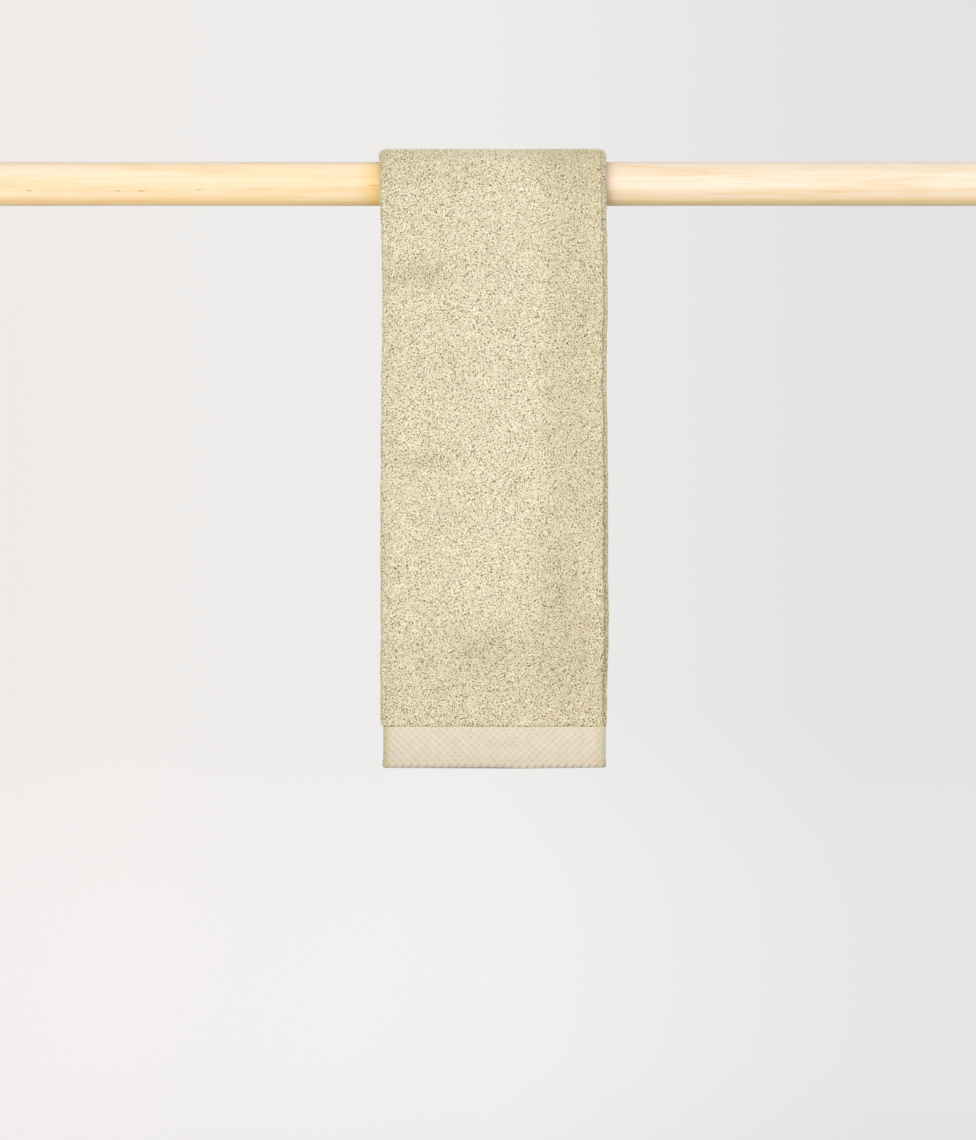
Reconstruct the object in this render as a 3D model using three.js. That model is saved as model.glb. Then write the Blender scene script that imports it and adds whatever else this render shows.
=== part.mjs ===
// A bath towel, folded lengthwise in three, hung over a round wooden rod. Millimetres, +Z up.
// The origin is the middle of the rod's left end face. +X runs along the rod, and the towel's
// front faces -Y. The towel is one cloth: a thick looped field with a thin flat border at each
// short end. Its fold is back and forth, so each section across the rod is a flat S of three
// layers: the inner layer lies on the rod, and the free edge of the outer layer is at the right.
import * as THREE from 'three';

// The rod
const ROD_DIAMETER = 50.8;
const ROD_LENGTH = 1200;
const ROD_CHAMFER = 1;
const ROD_SIDES = 64;

// The cloth, as cut and hemmed
const TOWEL_WIDTH = 762;
const TOWEL_LENGTH = 1422;
const TERRY_THICKNESS = 4.6;

// The towel, as folded and hung
const TOWEL_MIDDLE = ROD_LENGTH / 2;
const FRONT_DROP = 672.5;
const ROD_GAP = 0.4;
const LAYER_GAP_ON_ROD = 0.5;
const LAYER_GAP_BELOW = 1.4;
const LOOSENING_DROP = 220;

// The towel's two ends, measured up from the hem: the cloth's thickness there, and how far each
// side of the folded towel is drawn in. The border ends at 47, under the lip of the looped field.
const END_PROFILE = [
  { height: 0, thickness: 1.4, leftInset: 3.4, rightInset: 1.6 },
  { height: 0.7, thickness: 2.6, leftInset: 2.7, rightInset: 0.9 },
  { height: 2.2, thickness: 3, leftInset: 2.4, rightInset: 0.6 },
  { height: 8, thickness: 3, leftInset: 2.4, rightInset: 0.6 },
  { height: 9.5, thickness: 2, leftInset: 2.7, rightInset: 0.9 },
  { height: 46.6, thickness: 2, leftInset: 2.7, rightInset: 0.9 },
  { height: 47.2, thickness: 3.4, leftInset: 2, rightInset: 0.8 },
  { height: 49.4, thickness: 4.4, leftInset: 1.2, rightInset: 0.4 },
  { height: 58, thickness: 4.6, leftInset: 0.3, rightInset: 0.1 },
];

// Where the folded towel's sides lie, from its middle, at a drop below the rod's axis, and how
// far the fold behind shows past the free edge of the outer layer.
const FRONT_SIDES = [
  { drop: 0, left: 131.8, right: 128.5, strip: 5.2 },
  { drop: 64, left: 129.5, right: 129.7, strip: 4.6 },
  { drop: 144, left: 128.4, right: 130.5, strip: 4.4 },
  { drop: 212, left: 129.3, right: 129.3, strip: 4.5 },
  { drop: 270, left: 130.1, right: 129.6, strip: 4.4 },
  { drop: 384, left: 130.6, right: 131, strip: 4.2 },
  { drop: 510, left: 130.1, right: 131.2, strip: 4 },
  { drop: 590, left: 130.8, right: 129.4, strip: 3.8 },
  { drop: 672, left: 130.6, right: 129.1, strip: 4 },
];
const BACK_SIDES = [
  { drop: 0, left: 131.8, right: 128.5, strip: 5.2 },
  { drop: 90, left: 129.8, right: 129.6, strip: 4.8 },
  { drop: 260, left: 130.6, right: 130.4, strip: 4 },
  { drop: 450, left: 129.6, right: 131, strip: 4.6 },
  { drop: 668, left: 130.4, right: 129.8, strip: 4.2 },
];

// Soft unevenness of the hanging layers, in and out: the depth of each wave, its height and
// width, and where it starts. All three layers move together.
const WAVES = [
  { depth: 1.1, height: 410, width: 560, start: 0.6 },
  { depth: 0.6, height: 205, width: 330, start: 2.3 },
];
const DRAWN_IN = 3;

// The cloth stands a little off the rod along part of its crest.
const CREST_LIFT = 1.4;
const CREST_MIDDLE = -35;
const CREST_REACH = 110;

// How finely the solid is divided. EDGE_STEPS is odd, so that a round edge ends in a flat strip.
const TERRY_STEP = 42;
const WRAP_STEPS = 20;
const LAYER_STEPS = 5;
const FOLD_STEPS = 5;
const EDGE_STEPS = 3;

const ROD_RADIUS = ROD_DIAMETER / 2;
const INNER_LAYER = ROD_GAP + TERRY_THICKNESS / 2;
const PITCH_ON_ROD = TERRY_THICKNESS + LAYER_GAP_ON_ROD;
const PITCH_BELOW = TERRY_THICKNESS + LAYER_GAP_BELOW;

const pine = new THREE.MeshStandardMaterial({ color: 0xf0d2a0, roughness: 0.45, metalness: 0 });
const terry = new THREE.MeshStandardMaterial({ color: 0xd8cba6, roughness: 0.95, metalness: 0 });

// A smooth curve down one column of a table of drops, held level past the last row
function columnAt(rows, column, drop) {
  const drops = rows.map((row) => row.drop);
  const values = rows.map((row) => row[column]);
  const curve = new THREE.CubicInterpolant(drops, values, 1, new Float32Array(1));
  return curve.evaluate(Math.min(drop, drops[drops.length - 1]))[0];
}

// The distance between the middles of two layers: pressed together on the rod, looser below it
function pitchAt(drop) {
  const loosened = THREE.MathUtils.smoothstep(drop, 0, LOOSENING_DROP);
  return THREE.MathUtils.lerp(PITCH_ON_ROD, PITCH_BELOW, loosened);
}

// How far below the rod's axis the back hem hangs. Each layer has the same length of cloth, and
// an outer layer spends more of it on the way over the rod. Layer 0 is the inner one, 2 the outer.
function backDrop(layer) {
  const wrapRadius = ROD_RADIUS + INNER_LAYER + layer * PITCH_ON_ROD;
  return TOWEL_LENGTH - FRONT_DROP - Math.PI * wrapRadius;
}

// The cross-sections from the front hem, up, over the rod and down to the back hem
function listStations() {
  const front = END_PROFILE.map((end) => ({ ...end, panel: 'front', share: 0 }));
  const back = END_PROFILE.map((end) => ({ ...end, panel: 'back', share: 0 }));
  const plain = { height: 0, thickness: TERRY_THICKNESS, leftInset: 0, rightInset: 0 };
  const terryTop = FRONT_DROP - END_PROFILE[END_PROFILE.length - 1].height;
  const steps = Math.round(terryTop / TERRY_STEP);
  for (let i = 1; i < steps; i += 1) {
    front.push({ ...plain, panel: 'front', share: i / steps });
    back.push({ ...plain, panel: 'back', share: i / steps });
  }
  const wrap = [];
  for (let i = 0; i <= WRAP_STEPS; i += 1) {
    wrap.push({ ...plain, panel: 'wrap', angle: (Math.PI * i) / WRAP_STEPS });
  }
  return [...front, ...wrap, ...back.reverse()];
}

// How far below the rod's axis a layer is at a station
function dropAt(station, layer) {
  if (station.panel === 'wrap') {
    return 0;
  }
  const hemDrop = station.panel === 'front' ? FRONT_DROP : backDrop(layer);
  const terryDrop = hemDrop - END_PROFILE[END_PROFILE.length - 1].height;
  return station.share > 0 ? terryDrop * (1 - station.share) : hemDrop - station.height;
}

// Adds one straight layer to a middle line, from one place across the towel to another
function addLayer(line, from, to, layer, faceOut) {
  for (let i = 0; i < LAYER_STEPS; i += 1) {
    const x = THREE.MathUtils.lerp(from, to, i / LAYER_STEPS);
    line.push({ x, layer, faceX: 0, faceOut });
  }
}

// Adds the fold from a layer in to the next one, round the towel's left (-1) or right (1) side
function addFold(line, foldX, bend, side, outerLayer) {
  for (let i = 0; i < FOLD_STEPS; i += 1) {
    const turn = (Math.PI * i) / FOLD_STEPS;
    const across = Math.sin(turn);
    const out = Math.cos(turn);
    const x = foldX + side * bend * across;
    line.push({ x, layer: outerLayer - 0.5 + out / 2, faceX: -across, faceOut: -side * out });
  }
}

// The middle line of the folded cloth across one station, from the outer layer's free edge at the
// right, round both folds, to the inner layer's free edge near the left. Each point has its place
// across the towel, its layer (between two layers in a fold) and the direction of the cloth's face.
function middleLine(station) {
  const sides = station.panel === 'back' ? BACK_SIDES : FRONT_SIDES;
  const drop = dropAt(station, 1);
  const left = station.leftInset - columnAt(sides, 'left', drop);
  const right = columnAt(sides, 'right', drop) - station.rightInset;
  const strip = columnAt(sides, 'strip', drop);
  const half = station.thickness / 2;
  const bend = pitchAt(drop) / 2;
  const leftFold = left + half + bend;
  const rightFold = right - half - bend;
  const outerEdge = right - strip - half;
  const outerCloth = outerEdge + half - leftFold;
  const middleCloth = rightFold - leftFold;
  const innerCloth = TOWEL_WIDTH - outerCloth - middleCloth - 2 * Math.PI * bend;
  const innerEdge = rightFold - innerCloth + half;
  const line = [];
  addLayer(line, outerEdge, leftFold, 2, 1);
  addFold(line, leftFold, bend, -1, 2);
  addLayer(line, leftFold, rightFold, 1, -1);
  addFold(line, rightFold, bend, 1, 1);
  addLayer(line, rightFold, innerEdge, 0, 1);
  line.push({ x: innerEdge, layer: 0, faceX: 0, faceOut: 1 });
  return line;
}

// Half the cloth's thickness away from a point of the middle line, in a given direction
function offset(point, half, faceX, faceOut) {
  return { x: point.x + half * faceX, layer: point.layer, out: half * faceOut };
}

// The closed outline of the cloth's section: both faces of the middle line, and round free edges
function outline(station) {
  const half = station.thickness / 2;
  const line = middleLine(station);
  const face = line.map((point) => offset(point, half, point.faceX, point.faceOut));
  const under = line.map((point) => offset(point, half, -point.faceX, -point.faceOut));
  const innerRound = [];
  const outerRound = [];
  for (let i = 1; i < EDGE_STEPS; i += 1) {
    const turn = (Math.PI * i) / EDGE_STEPS;
    innerRound.push(offset(line[line.length - 1], half, -Math.sin(turn), Math.cos(turn)));
    outerRound.push(offset(line[0], half, Math.sin(turn), -Math.cos(turn)));
  }
  return [...face, ...innerRound, ...under.reverse(), ...outerRound];
}

// In and out, how far a hanging panel leaves the plane straight below the rod's side
function sway(x, drop) {
  const grown = THREE.MathUtils.smoothstep(drop, 30, 260);
  let depth = (-DRAWN_IN * drop) / FRONT_DROP;
  for (const wave of WAVES) {
    const down = Math.sin((2 * Math.PI * drop) / wave.height + wave.start);
    const sideways = Math.cos((2 * Math.PI * x) / wave.width + wave.start);
    depth += wave.depth * grown * down * sideways;
  }
  return depth;
}

// How far a layer stands proud of the rod at the top of its way over
function liftAt(x, layer) {
  const fromMiddle = Math.abs(x - CREST_MIDDLE);
  const nearCrest = THREE.MathUtils.smoothstep(CREST_REACH - fromMiddle, 0, CREST_REACH);
  return (CREST_LIFT * nearCrest * layer) / 2;
}

// The place in space of one outline point
function place(station, point) {
  const drop = dropAt(station, point.layer);
  const out = INNER_LAYER + point.layer * pitchAt(drop) + point.out;
  if (station.panel === 'wrap') {
    const lift = liftAt(point.x, point.layer) * Math.sin(station.angle);
    const radius = ROD_RADIUS + out + lift;
    const y = -radius * Math.cos(station.angle);
    return new THREE.Vector3(TOWEL_MIDDLE + point.x, y, radius * Math.sin(station.angle));
  }
  const outward = station.panel === 'front' ? -1 : 1;
  const y = outward * (ROD_RADIUS + out + sway(point.x, drop));
  return new THREE.Vector3(TOWEL_MIDDLE + point.x, y, -drop);
}

// The closed skin over all the outlines, with the cloth's two hem ends closed off
function towelGeometry() {
  const rings = [];
  for (const station of listStations()) {
    rings.push(outline(station).map((point) => place(station, point)));
  }
  const count = rings[0].length;
  const positions = rings.flat().flatMap((corner) => corner.toArray());
  const faces = [];
  for (let s = 0; s + 1 < rings.length; s += 1) {
    for (let i = 0; i < count; i += 1) {
      const here = s * count + i;
      const next = s * count + ((i + 1) % count);
      faces.push(here, here + count, next, next, here + count, next + count);
    }
  }
  // Each hem end is closed by strips across the cloth's thickness. Point i of an outline lies
  // across the thickness from point opposite - i, and the round free edges have a point of each.
  const lineCount = 3 * LAYER_STEPS + 2 * FOLD_STEPS + 1;
  const opposite = 2 * lineCount + EDGE_STEPS - 2;
  const last = (rings.length - 1) * count;
  const roundPoints = (EDGE_STEPS - 1) / 2;
  for (let i = -roundPoints; i < lineCount + roundPoints - 1; i += 1) {
    const corners = [i, i + 1, opposite - i - 1, opposite - i];
    const [a, b, c, d] = corners.map((corner) => (corner + count) % count);
    faces.push(a, b, c, a, c, d);
    faces.push(last + a, last + c, last + b, last + a, last + d, last + c);
  }
  const geometry = new THREE.BufferGeometry();
  geometry.setAttribute('position', new THREE.Float32BufferAttribute(positions, 3));
  geometry.setIndex(faces);
  geometry.computeVertexNormals();
  return geometry;
}

function makeTowel() {
  const towel = new THREE.Mesh(towelGeometry(), terry);
  towel.name = 'towel';
  return towel;
}

function makeRod() {
  const profile = [
    new THREE.Vector2(0, 0),
    new THREE.Vector2(ROD_RADIUS - ROD_CHAMFER, 0),
    new THREE.Vector2(ROD_RADIUS, ROD_CHAMFER),
    new THREE.Vector2(ROD_RADIUS, ROD_LENGTH - ROD_CHAMFER),
    new THREE.Vector2(ROD_RADIUS - ROD_CHAMFER, ROD_LENGTH),
    new THREE.Vector2(0, ROD_LENGTH),
  ];
  const rod = new THREE.Mesh(new THREE.LatheGeometry(profile, ROD_SIDES), pine);
  rod.rotation.z = -Math.PI / 2;
  rod.name = 'rod';
  return rod;
}

const towelOnRod = new THREE.Group();
towelOnRod.add(makeRod(), makeTowel());

export default towelOnRod;
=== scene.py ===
# A bath towel, folded lengthwise in three and hung over a round pine rod. Metres, +Z up.
# The towel's cloth follows the folds of its solid. Geometry Nodes sew its pile of loops on.
import math

import bpy
import numpy as np
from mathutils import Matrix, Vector
from mathutils.geometry import tessellate_polygon


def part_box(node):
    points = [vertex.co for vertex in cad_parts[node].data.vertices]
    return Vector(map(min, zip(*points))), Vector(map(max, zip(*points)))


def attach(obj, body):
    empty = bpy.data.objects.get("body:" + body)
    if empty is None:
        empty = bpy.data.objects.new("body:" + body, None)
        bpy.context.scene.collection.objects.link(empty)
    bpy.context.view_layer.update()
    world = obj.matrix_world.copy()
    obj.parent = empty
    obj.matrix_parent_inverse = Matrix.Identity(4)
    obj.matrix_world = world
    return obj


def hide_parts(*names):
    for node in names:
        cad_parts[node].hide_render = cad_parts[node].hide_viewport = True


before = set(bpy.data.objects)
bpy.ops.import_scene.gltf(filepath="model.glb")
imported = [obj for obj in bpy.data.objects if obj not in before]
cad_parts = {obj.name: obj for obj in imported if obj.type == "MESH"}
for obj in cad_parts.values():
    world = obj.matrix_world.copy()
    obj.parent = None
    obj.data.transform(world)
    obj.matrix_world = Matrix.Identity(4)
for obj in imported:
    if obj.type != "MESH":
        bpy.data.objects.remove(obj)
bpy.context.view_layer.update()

MM = 0.001

# The rod and the hung towel, from the frame
ROD_LOW, ROD_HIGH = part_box("rod")
ROD_RADIUS = (ROD_HIGH.z - ROD_LOW.z) / 2
TOWEL_MIDDLE = (ROD_LOW.x + ROD_HIGH.x) / 2
TOWEL_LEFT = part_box("towel")[0].x
FRONT_DROP = -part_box("towel")[0].z

# The cloth, as cut and hemmed
TOWEL_WIDTH = 762 * MM
TOWEL_LENGTH = 1422 * MM
TERRY_THICKNESS = 4.6 * MM
BORDER_HEIGHT = 47 * MM

# The towel, as folded and hung
ROD_GAP = 0.4 * MM
LAYER_GAP_ON_ROD = 0.5 * MM
LAYER_GAP_BELOW = 1.4 * MM
LOOSENING_DROP = 220 * MM
INNER_LAYER = ROD_GAP + TERRY_THICKNESS / 2
PITCH_ON_ROD = TERRY_THICKNESS + LAYER_GAP_ON_ROD
PITCH_BELOW = TERRY_THICKNESS + LAYER_GAP_BELOW


def table(columns, *rows):
    """Rows of numbers under the names of their columns"""
    return [dict(zip(columns.split(), row)) for row in rows]


# The towel's two ends, measured up from the hem, in millimetres: the cloth's thickness there, how
# far each side of the folded towel is drawn in, and how far the free edge comes out over the fold
# behind it
END_PROFILE = table(
    "height thickness left_inset right_inset cover",
    (0, 1.2, 5.2, 2.7, 3.6),
    (0.4, 2.2, 3.6, 1.5, 3.6),
    (1.2, 2.8, 2.5, 0.8, 3.6),
    (2.6, 3, 2.1, 0.5, 3.6),
    (8, 3, 2.2, 0.5, 3.6),
    (9.5, 2, 3.0, 0.8, 3.6),
    (46.6, 2, 3.5, 0.9, 3.6),
    (47.3, 3.2, 3.2, 0.9, 3.2),
    (48.6, 4.3, 1.4, 0.3, 1.0),
    (51, 4.6, 0.6, 0, 0),
    (58, 4.6, 0.2, 0, 0),
)

# Where the folded towel's sides lie, from its middle, at a drop below the rod's axis, and how far
# the fold behind shows past the free edge of the outer layer, in millimetres
SIDES = "drop left right strip"
FRONT_SIDES = table(
    SIDES,
    (0, 131.8, 128.5, 5.2),
    (64, 129.5, 129.7, 4.6),
    (144, 128.4, 130.5, 4.4),
    (212, 129.3, 129.3, 4.5),
    (270, 129.8, 130.1, 4.4),
    (384, 130.4, 131, 4.2),
    (450, 130.3, 131.0, 4.4),
    (510, 130.1, 131.8, 4.2),
    (590, 130.6, 129.8, 3.8),
    (672, 129.8, 129.2, 4),
)
BACK_SIDES = table(
    SIDES,
    (0, 131.8, 128.5, 5.2),
    (90, 129.8, 129.6, 4.8),
    (260, 130.6, 130.4, 4),
    (450, 129.6, 131, 4.6),
    (668, 130.4, 129.8, 4.2),
)

# Soft unevenness of the hanging layers, in millimetres and radians
WAVES = table(
    "depth height width start",
    (1.1, 410, 560, 0.6),
    (0.6, 205, 330, 2.3),
)
WAVES_GROW = (30 * MM, 260 * MM)
DRAWN_IN = 3 * MM

# Soft creases of the front, in millimetres: the middle of each across the towel and below the
# rod, how long and wide it is, how deep, and how it slants, in degrees
CREASES = table(
    "x drop length width depth slant",
    (-78, 322, 62, 6, 1.1, -4),
    (-92, 112, 46, 15, 1.0, 10),
    (12, 548, 40, 13, 0.8, 6),
)

# Painted light and shade on the front's pile, as soft patches where it lies darker (below 0) or
# lighter: the shade of the creases, the right side, the left edge, the lower part and the top over
# the rod, and light in the middle. The middle of each across the towel and below the rod, half its
# width and height, in millimetres
LIGHT_AND_SHADE_PATCHES = table(
    "x drop width height shade",
    (92, 190, 42, 330, -0.40),
    (8, 190, 46, 240, 0.35),
    (-84, 107, 36, 15, -0.55),
    (-86, 322, 34, 8, -0.5),
    (66, 455, 26, 46, -0.3),
    (84, 540, 40, 70, -0.25),
    (-8, 538, 34, 20, -0.35),
    (-10, 600, 180, 90, -0.35),
    (-134, 300, 16, 900, -0.4),
    (0, 0, 300, 9, -0.3),
)
TONE_SHARPNESS = 6

# On the way over the rod this painted light and shade fades out, this far to either side of the
# crest, in radians
TONES_FADE = 0.5

# How much painted shade darkens the pile along the free edge, on the fold beside it, which lies in
# the outer layer's shadow, and above the border, under the overhanging loops, and where these shades
# come in: drops below the rod, ways in from the edge, heights above the hem
EDGE_SHADE = 0.75
STRIP_SHADE = 0.85
STRIP_SHADE_ABOVE = 0.1
JOINT_SHADE = 0.2
SHADED_DROPS = (220 * MM, 470 * MM)
SHADED_EDGE = (1 * MM, 6.5 * MM)
SHADED_JOINT = (47.5 * MM, 52 * MM)

# The fold behind the free edge bulges out beside it, most of all on top of the rod, where both of
# the towel's sides spread a little
FOLD_BULGE = 3.2 * MM
FOLD_BULGE_ON_TOP = 4 * MM
CREST_SPREAD = 1.3 * MM

# Past the free edge the bulge comes up over the first stretch and falls away over the second, by
# this share where the towel hangs and by the other on top of the rod
BULGE_RISES = (-2 * MM, 1.6 * MM)
BULGE_FALLS = (1 * MM, 6.5 * MM)
BULGE_FALL = 0.5
BULGE_FALL_ON_TOP = 0.95

# On top of the rod the left fold sticks out past the inner layer, so it droops
LEFT_DROOP = 3.4 * MM
LEFT_DROOP_WIDTH = 9.5 * MM

# Layers count from 0, the inner one, to 2, the outer one, with the folds between them. These tell
# the outer layer, the middle one with the left fold, and the fold that bulges
OUTER_FROM = 1.9
MIDDLE_FROM = 0.9
BULGE_UP_TO = 1.6

# Where the front hem hangs a little lower, in millimetres across the towel and down
HEM_SAGS = table(
    "x width depth",
    (36, 22, 1.3),
    (-118, 14, 0.7),
)
HEM_SAG_HEIGHT = 60 * MM

# Fine unevenness of the sides and of the free edge, in millimetres
SIDE_WOBBLES = table(
    "depth height start",
    (0.2, 67, 0.4),
    (0.22, 31, 1.9),
)
WOBBLE_SHIFT = 2.2

# The pile: its loops stand on a ground cloth that lies this far under the terry's face, but never
# more than this share of half the cloth's thickness
PILE_HEIGHT = 1.2 * MM
LEFT_FOLD_PILE = 1.25 * MM
RIGHT_FOLD_PILE = 0.9 * MM
PILE_SHARE = 0.56
LOOP_SPACING = 1.88 * MM
STRIP_SPACING = 1.7 * MM
INSIDE_SPACING = 2.4 * MM
LOOP_LENGTH = 4.2 * MM
LOOP_WIDTH = 1.75 * MM
LOOP_RISE = 1.15 * MM
LOOP_LEAN = 0.45
FREE_EDGE_PILE = 10 * MM
INNER_STRIP = 14 * MM
SIDE_HEM = 7.4 * MM
SIDE_HEM_GROOVE = 1.5 * MM
BESIDE_GROOVE = (1.2 * MM, 2.4 * MM)
RIM = (1.5 * MM, 3.5 * MM)
BARE_JOINT = 0.3 * MM
RAGGED_JOINT = 0.7 * MM
RAGGED_WAVES = (19 * MM, 47 * MM)
LEFT_BAND = 12 * MM

# How finely the cloth is divided
OUTER_STEPS = 40
HIDDEN_STEPS = 20
FOLD_STEPS = 12
EDGE_STEPS = 6
TERRY_STEP = 7.5 * MM
BORDER_STEP = 4.2 * MM
WRAP_STEPS = 30
CROWDING = 0.6

# The photograph, and the camera that takes the same view
PHOTO_WIDTH_PX = 976
PHOTO_HEIGHT_PX = 1140
TOWEL_MIDDLE_PX = 493.9
ROD_AXIS_PX = 183.9
TOWEL_FRONT_SCALE = 1.144 * MM
TOWEL_FRONT = 41.4 * MM
CAMERA_DISTANCE = 4
SENSOR = 36

# The studio
WORLD_LIGHT = 0.72
KEY_LIGHT = 0.52
BACK_LIGHT = 0.25
FLOOR_DROP = 3
COVE_FLOOR_RADIUS = 5
COVE_BEND_RADIUS = 2.5
COVE_HEIGHT = 9
PAPER_SIDES = (-0.6, 1.8)
PAPER_HEIGHTS = (-2.0, -0.9)
PAPER_GAIN = (1.09, 1.09, 1.09)


def smoothstep(value, low, high):
    """0 below low, 1 above high, and a smooth climb between"""
    share = np.clip((value - low) / (high - low), 0, 1)
    return share * share * (3 - 2 * share)


def column_at(rows, column, drop):
    """A smooth curve down one column of a table of drops, in metres, held level past the last row"""
    drops = np.array([row["drop"] for row in rows]) * MM
    values = np.array([row[column] for row in rows]) * MM
    slopes = np.gradient(values, drops)
    drop = float(np.clip(drop, drops[0], drops[-1]))
    i = min(int(np.searchsorted(drops, drop, side="right")) - 1, len(drops) - 2)
    span = drops[i + 1] - drops[i]
    t = (drop - drops[i]) / span
    start = (1 + 2 * t) * (1 - t) ** 2 * values[i] + t * (1 - t) ** 2 * span * slopes[i]
    end = t * t * (3 - 2 * t) * values[i + 1] + t * t * (t - 1) * span * slopes[i + 1]
    return start + end


def pitch_at(drop):
    """The distance between the middles of two layers: pressed together on the rod, looser below"""
    loosened = smoothstep(drop, 0, LOOSENING_DROP)
    return PITCH_ON_ROD + (PITCH_BELOW - PITCH_ON_ROD) * loosened


def wrap_radius(layer):
    """The radius of a layer's middle on its way over the rod"""
    return ROD_RADIUS + INNER_LAYER + layer * PITCH_ON_ROD


def back_drop(layer):
    """How far below the rod's axis the back hem of a layer hangs"""
    return TOWEL_LENGTH - FRONT_DROP - math.pi * wrap_radius(layer)


def list_stations():
    """The cross-sections from the front hem, up, over the rod and down to the back hem"""
    corners = [row["height"] * MM for row in END_PROFILE]
    places = []
    for low, high in zip(corners, corners[1:]):
        count = max(1, math.ceil((high - low) / BORDER_STEP))
        places += [{"height": low + (high - low) * i / count} for i in range(count)]
    places.append({"height": corners[-1]})
    steps = round((FRONT_DROP - corners[-1]) / TERRY_STEP)
    places += [{"share": i / steps} for i in range(1, steps)]
    front = [{"panel": "front", **place} for place in places]
    wrap = [{"panel": "wrap", "angle": math.pi * i / WRAP_STEPS} for i in range(WRAP_STEPS + 1)]
    back = [{"panel": "back", **place} for place in reversed(places)]
    return front + wrap + back


def drop_at(station, layer):
    """How far below the rod's axis a layer is at a station"""
    if station["panel"] == "wrap":
        return np.zeros_like(layer)
    hem = FRONT_DROP if station["panel"] == "front" else back_drop(layer)
    if "height" in station:
        return hem - station["height"] + 0 * layer
    return (hem - END_PROFILE[-1]["height"] * MM) * (1 - station["share"]) + 0 * layer


def length_at(station, layer):
    """How far along the cloth a layer is at a station, from the front hem"""
    if station["panel"] == "wrap":
        return FRONT_DROP + station["angle"] * wrap_radius(layer)
    drop = drop_at(station, layer)
    if station["panel"] == "front":
        return FRONT_DROP - drop
    return TOWEL_LENGTH - back_drop(layer) + drop


def profile_at(station, column):
    """A column of the ends' profile at a station, in metres: plain terry away from both ends"""
    if "height" in station:
        heights = [row["height"] for row in END_PROFILE]
        values = [row[column] for row in END_PROFILE]
        return float(np.interp(station["height"] / MM, heights, values)) * MM
    return TERRY_THICKNESS if column == "thickness" else 0.0


def wobble(length, side):
    """A fine in and out of a side, which changes along the cloth"""
    offset = 0.0
    for wave in SIDE_WOBBLES:
        turn = 2 * math.pi * length / (wave["height"] * MM) + wave["start"] + WOBBLE_SHIFT * side
        offset += wave["depth"] * MM * math.sin(turn)
    return offset


def crowded_steps(count):
    """Shares of a layer's width, crowded towards its ends, where folds and free edges are"""
    even = np.arange(count) / count
    crowded = (1 - np.cos(np.pi * even)) / 2
    return CROWDING * crowded + (1 - CROWDING) * even


def middle_line(station):
    """The middle line of the folded cloth across one station, from the outer layer's free edge at
    the right, round both folds, to the inner layer's free edge near the left"""
    sides = BACK_SIDES if station["panel"] == "back" else FRONT_SIDES
    drop = float(drop_at(station, np.array(1.0)))
    length = float(length_at(station, np.array(1.0)))
    left = profile_at(station, "left_inset") - column_at(sides, "left", drop)
    right = column_at(sides, "right", drop) - profile_at(station, "right_inset")
    strip = column_at(sides, "strip", drop) - profile_at(station, "cover")
    if "height" not in station:
        left += wobble(length, 0)
        right += wobble(length, 1)
        strip += wobble(length, 2)
    half = profile_at(station, "thickness") / 2
    bend = float(pitch_at(drop)) / 2
    left_fold = left + half + bend
    right_fold = right - half - bend
    outer_edge = right - strip - half
    outer_cloth = outer_edge + half - left_fold
    middle_cloth = right_fold - left_fold
    inner_cloth = TOWEL_WIDTH - outer_cloth - middle_cloth - 2 * math.pi * bend
    inner_edge = right_fold - inner_cloth + half

    along_outer = crowded_steps(OUTER_STEPS)
    along_hidden = crowded_steps(HIDDEN_STEPS)
    turn = np.pi * np.arange(FOLD_STEPS) / FOLD_STEPS
    outer, hidden = np.ones(OUTER_STEPS), np.ones(HIDDEN_STEPS)

    # The places of each stretch, its layers, and which way the cloth's face looks
    stretches = [
        (outer_edge + (left_fold - outer_edge) * along_outer, 2 * outer, 0 * outer, outer),
        (left_fold - bend * np.sin(turn), 1.5 + np.cos(turn) / 2, -np.sin(turn), np.cos(turn)),
        (left_fold + (right_fold - left_fold) * along_hidden, hidden, 0 * hidden, -hidden),
        (right_fold + bend * np.sin(turn), 0.5 + np.cos(turn) / 2, -np.sin(turn), -np.cos(turn)),
        (right_fold + (inner_edge - right_fold) * along_hidden, 0 * hidden, 0 * hidden, hidden),
        ([inner_edge], [0], [0], [1]),
    ]
    names = ("x", "layer", "face_x", "face_out")
    line = dict(zip(names, (np.concatenate(part) for part in zip(*stretches))))
    line.update(
        half=half, outer_edge=outer_edge + half, inner_edge=inner_edge - half,
        left_fold=left_fold, right_fold=right_fold, bend=bend,
    )
    return line


# Where each stretch of the middle line lies: three layers with two folds between them
OUTER = slice(0, OUTER_STEPS)
LEFT_FOLD = slice(OUTER.stop, OUTER.stop + FOLD_STEPS)
MIDDLE = slice(LEFT_FOLD.stop, LEFT_FOLD.stop + HIDDEN_STEPS)
RIGHT_FOLD = slice(MIDDLE.stop, MIDDLE.stop + FOLD_STEPS)
INNER = slice(RIGHT_FOLD.stop, RIGHT_FOLD.stop + HIDDEN_STEPS + 1)
LINE_POINTS = INNER.stop


def pile_on_faces(line):
    """Where loops stand on the cloth's two faces, 0 to 1: on the one that is the outer layer's
    outside, and on the one that is the inner layer's inside"""
    x = line["x"]
    face, reverse = np.zeros((2, len(x)))
    face[: LEFT_FOLD.stop] = 1
    face[MIDDLE] = x[MIDDLE] < line["left_fold"] + FREE_EDGE_PILE
    face[INNER] = x[INNER] < line["inner_edge"] + FREE_EDGE_PILE
    reverse[OUTER] = x[OUTER] > line["outer_edge"] - FREE_EDGE_PILE
    reverse[MIDDLE] = x[MIDDLE] > line["right_fold"] - FREE_EDGE_PILE
    reverse[RIGHT_FOLD] = 1
    strips = (x > line["right_fold"] - INNER_STRIP) | (x < line["inner_edge"] + INNER_STRIP)
    reverse[INNER] = strips[INNER]
    return face, reverse


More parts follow.
